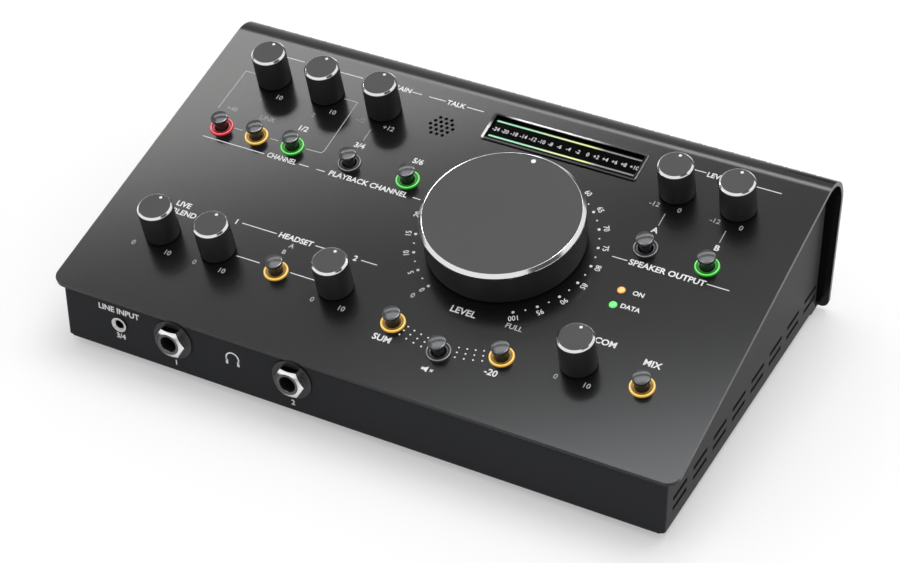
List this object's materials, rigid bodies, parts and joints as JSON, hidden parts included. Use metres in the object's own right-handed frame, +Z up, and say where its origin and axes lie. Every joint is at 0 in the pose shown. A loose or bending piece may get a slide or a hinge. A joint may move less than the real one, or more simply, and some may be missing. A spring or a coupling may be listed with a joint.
{
  "type": "studio monitor controller",
  "caption": "Desktop studio monitor controller with a sloped control panel, large volume dial, small knobs, lit push buttons, level meter and front and rear jacks.",
  "frame": {"origin": "bottom centre of the whole object's box, on the desk under the feet", "axes": "+X to the right seen from the front, +Y to the back, +Z up"},
  "size_m": [0.257, 0.1618, 0.0771],
  "materials": {
    "painted_steel": "satin powder coat",
    "rubber": "matte",
    "zinc_steel": "zinc plated",
    "board": "solder mask",
    "grey_plastic": "matte",
    "black_plastic": "matte",
    "knob_plastic": "satin",
    "bright_chrome": "polished",
    "disc_plastic": "matte",
    "cap_plastic": "gloss",
    "red_light": "lit",
    "amber_light": "lit",
    "green_light": "lit",
    "unlit_light": "clear frosted",
    "smoked_window": "gloss",
    "nickel": "nickel plated",
    "black_washer": "matte black"
  },
  "bodies": {
    "case": {"top_cover": "painted_steel", "chassis_tub": "painted_steel", "rubber_feet": "rubber", "machine_screws": "zinc_steel", "control_board": "board", "main_board": "board", "board_standoffs": "zinc_steel", "ribbon_cable": "grey_plastic", "potentiometers": "grey_plastic", "push_switches": "black_plastic", "light_ring_red": "red_light", "light_rings_amber": "amber_light", "light_rings_green": "green_light", "light_rings_unlit": "unlit_light", "meter_bezel": "nickel", "meter_window": "smoked_window", "meter_light_bars": "green_light", "talkback_microphone": "nickel", "status_leds": "amber_light", "phone_jacks": "black_plastic", "jack_nuts": "nickel", "jack_washers": "black_washer", "stereo_in_jack": "black_plastic", "combo_inputs": "black_plastic", "usb_socket": "nickel", "dc_power_socket": "black_plastic"},
    "input_1_control": {"input_1_knob": "knob_plastic", "input_1_ring_and_shaft": "bright_chrome"},
    "input_2_control": {"input_2_knob": "knob_plastic", "input_2_ring_and_shaft": "bright_chrome"},
    "line_trim_control": {"line_trim_knob": "knob_plastic", "line_trim_ring_and_shaft": "bright_chrome"},
    "monitor_a_trim_control": {"monitor_a_trim_knob": "knob_plastic", "monitor_a_trim_ring_and_shaft": "bright_chrome"},
    "monitor_b_trim_control": {"monitor_b_trim_knob": "knob_plastic", "monitor_b_trim_ring_and_shaft": "bright_chrome"},
    "direct_monitoring_control": {"direct_monitoring_knob": "knob_plastic", "direct_monitoring_ring_and_shaft": "bright_chrome"},
    "phones_1_control": {"phones_1_knob": "knob_plastic", "phones_1_ring_and_shaft": "bright_chrome"},
    "phones_2_control": {"phones_2_knob": "knob_plastic", "phones_2_ring_and_shaft": "bright_chrome"},
    "talkback_control": {"talkback_knob": "knob_plastic", "talkback_ring_and_shaft": "bright_chrome"},
    "volume_control": {"volume_knob": "knob_plastic", "volume_knob_disc": "disc_plastic", "volume_ring_and_shaft": "bright_chrome"},
    "phantom_power_push": {"phantom_power_button": "cap_plastic"},
    "stereo_link_push": {"stereo_link_button": "cap_plastic"},
    "source_1_2_push": {"source_1_2_button": "cap_plastic"},
    "source_3_4_push": {"source_3_4_button": "cap_plastic"},
    "source_usb_push": {"source_usb_button": "cap_plastic"},
    "monitor_a_push": {"monitor_a_button": "cap_plastic"},
    "monitor_b_push": {"monitor_b_button": "cap_plastic"},
    "phones_source_push": {"phones_source_button": "cap_plastic"},
    "mono_push": {"mono_button": "cap_plastic"},
    "mute_push": {"mute_button": "cap_plastic"},
    "dim_push": {"dim_button": "cap_plastic"},
    "cue_push": {"cue_button": "cap_plastic"}
  },
  "joints": [
    {"name": "input_1_turn", "type": "hinge", "parent": "case", "child": "input_1_control", "pos_m": [-0.0998, 0.04094, 0.0606], "axis": [0, -0.2512, 0.9679], "range_deg": [-150, 150]},
    {"name": "input_2_turn", "type": "hinge", "parent": "case", "child": "input_2_control", "pos_m": [-0.0755, 0.04094, 0.0606], "axis": [0, -0.2512, 0.9679], "range_deg": [-150, 150]},
    {"name": "line_trim_turn", "type": "hinge", "parent": "case", "child": "line_trim_control", "pos_m": [-0.0496, 0.04103, 0.06063], "axis": [0, -0.2512, 0.9679], "range_deg": [-150, 150]},
    {"name": "monitor_a_trim_turn", "type": "hinge", "parent": "case", "child": "monitor_a_trim_control", "pos_m": [0.0756, 0.04123, 0.06068], "axis": [0, -0.2512, 0.9679], "range_deg": [-150, 150]},
    {"name": "monitor_b_trim_turn", "type": "hinge", "parent": "case", "child": "monitor_b_trim_control", "pos_m": [0.1002, 0.04132, 0.06071], "axis": [0, -0.2512, 0.9679], "range_deg": [-150, 150]},
    {"name": "direct_monitoring_turn", "type": "hinge", "parent": "case", "child": "direct_monitoring_control", "pos_m": [-0.1, -0.04395, 0.03857], "axis": [0, -0.2512, 0.9679], "range_deg": [-150, 150]},
    {"name": "phones_1_turn", "type": "hinge", "parent": "case", "child": "phones_1_control", "pos_m": [-0.0752, -0.04395, 0.03857], "axis": [0, -0.2512, 0.9679], "range_deg": [-150, 150]},
    {"name": "phones_2_turn", "type": "hinge", "parent": "case", "child": "phones_2_control", "pos_m": [-0.024, -0.04395, 0.03857], "axis": [0, -0.2512, 0.9679], "range_deg": [-150, 150]},
    {"name": "talkback_turn", "type": "hinge", "parent": "case", "child": "talkback_control", "pos_m": [0.0755, -0.04385, 0.0386], "axis": [0, -0.2512, 0.9679], "range_deg": [-150, 150]},
    {"name": "volume_turn", "type": "hinge", "parent": "case", "child": "volume_control", "pos_m": [0.0257, -0.00223, 0.0494], "axis": [0, -0.2512, 0.9679], "range_deg": [-150, 150]},
    {"name": "phantom_power_press", "type": "slide", "parent": "case", "child": "phantom_power_push", "axis": [0, 0.2512, -0.9679], "range_m": [0, 0.0015], "stiffness_N_per_m": 300, "springref_m": -0.002},
    {"name": "stereo_link_press", "type": "slide", "parent": "case", "child": "stereo_link_push", "axis": [0, 0.2512, -0.9679], "range_m": [0, 0.0015], "stiffness_N_per_m": 300, "springref_m": -0.002},
    {"name": "source_1_2_press", "type": "slide", "parent": "case", "child": "source_1_2_push", "axis": [0, 0.2512, -0.9679], "range_m": [0, 0.0015], "stiffness_N_per_m": 300, "springref_m": -0.002},
    {"name": "source_3_4_press", "type": "slide", "parent": "case", "child": "source_3_4_push", "axis": [0, 0.2512, -0.9679], "range_m": [0, 0.0015], "stiffness_N_per_m": 300, "springref_m": -0.002},
    {"name": "source_usb_press", "type": "slide", "parent": "case", "child": "source_usb_push", "axis": [0, 0.2512, -0.9679], "range_m": [0, 0.0015], "stiffness_N_per_m": 300, "springref_m": -0.002},
    {"name": "monitor_a_press", "type": "slide", "parent": "case", "child": "monitor_a_push", "axis": [0, 0.2512, -0.9679], "range_m": [0, 0.0015], "stiffness_N_per_m": 300, "springref_m": -0.002},
    {"name": "monitor_b_press", "type": "slide", "parent": "case", "child": "monitor_b_push", "axis": [0, 0.2512, -0.9679], "range_m": [0, 0.0015], "stiffness_N_per_m": 300, "springref_m": -0.002},
    {"name": "phones_source_press", "type": "slide", "parent": "case", "child": "phones_source_push", "axis": [0, 0.2512, -0.9679], "range_m": [0, 0.0015], "stiffness_N_per_m": 300, "springref_m": -0.002},
    {"name": "mono_press", "type": "slide", "parent": "case", "child": "mono_push", "axis": [0, 0.2512, -0.9679], "range_m": [0, 0.0015], "stiffness_N_per_m": 300, "springref_m": -0.002},
    {"name": "mute_press", "type": "slide", "parent": "case", "child": "mute_push", "axis": [0, 0.2512, -0.9679], "range_m": [0, 0.0015], "stiffness_N_per_m": 300, "springref_m": -0.002},
    {"name": "dim_press", "type": "slide", "parent": "case", "child": "dim_push", "axis": [0, 0.2512, -0.9679], "range_m": [0, 0.0015], "stiffness_N_per_m": 300, "springref_m": -0.002},
    {"name": "cue_press", "type": "slide", "parent": "case", "child": "cue_push", "axis": [0, 0.2512, -0.9679], "range_m": [0, 0.0015], "stiffness_N_per_m": 300, "springref_m": -0.002}
  ]
}
